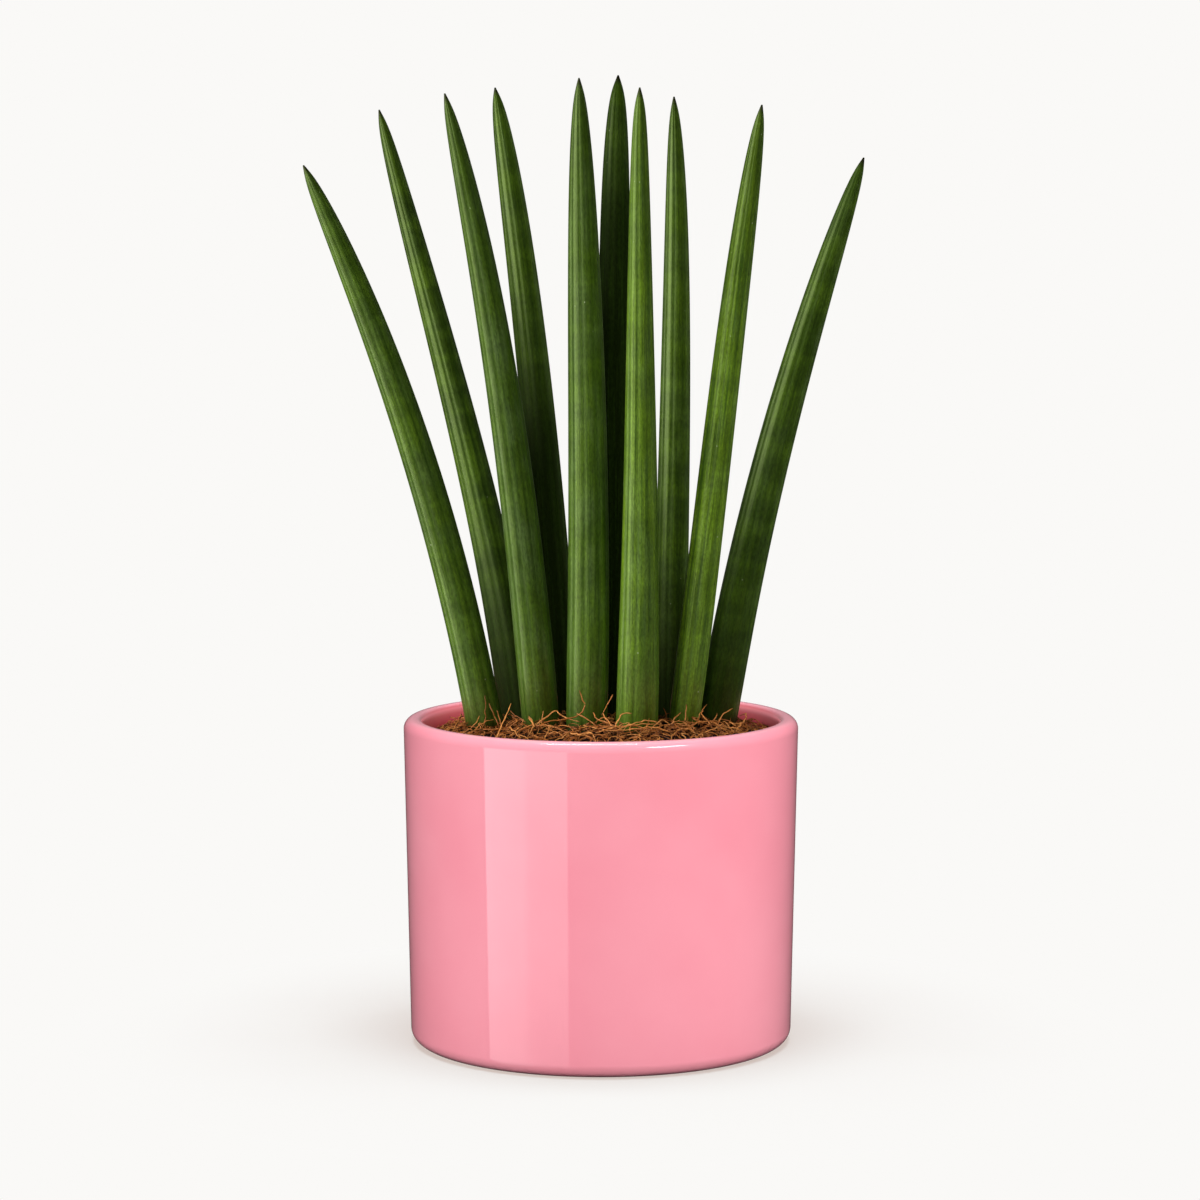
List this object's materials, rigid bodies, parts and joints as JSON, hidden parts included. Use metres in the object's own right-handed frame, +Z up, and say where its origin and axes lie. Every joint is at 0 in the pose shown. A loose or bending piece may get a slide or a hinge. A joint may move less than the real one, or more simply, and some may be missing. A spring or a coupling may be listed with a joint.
{
  "type": "potted cylindrical snake plant",
  "caption": "Upright succulent with tall round pointed leaves standing in coir in a straight-sided glazed pot.",
  "frame": {"origin": "centre of the pot's flat underside", "axes": "+Z up along the pot's axis, +X to the right of the leaf fan seen from the front, +Y to the back"},
  "size_m": [0.2096, 0.1498, 0.367],
  "materials": {
    "pot_glaze": "gloss",
    "potting_soil": "matte",
    "coir_fibre": "matte",
    "leaf_green": "satin"
  },
  "bodies": {
    "root": {"pot": "pot_glaze", "potting_mix": "potting_soil", "coir_mulch": "coir_fibre", "leaf_01": "leaf_green", "leaf_02": "leaf_green", "leaf_03": "leaf_green", "leaf_04": "leaf_green", "leaf_05": "leaf_green", "leaf_06": "leaf_green", "leaf_07": "leaf_green", "leaf_08": "leaf_green", "leaf_09": "leaf_green", "leaf_10": "leaf_green"}
  },
  "joints": []
}
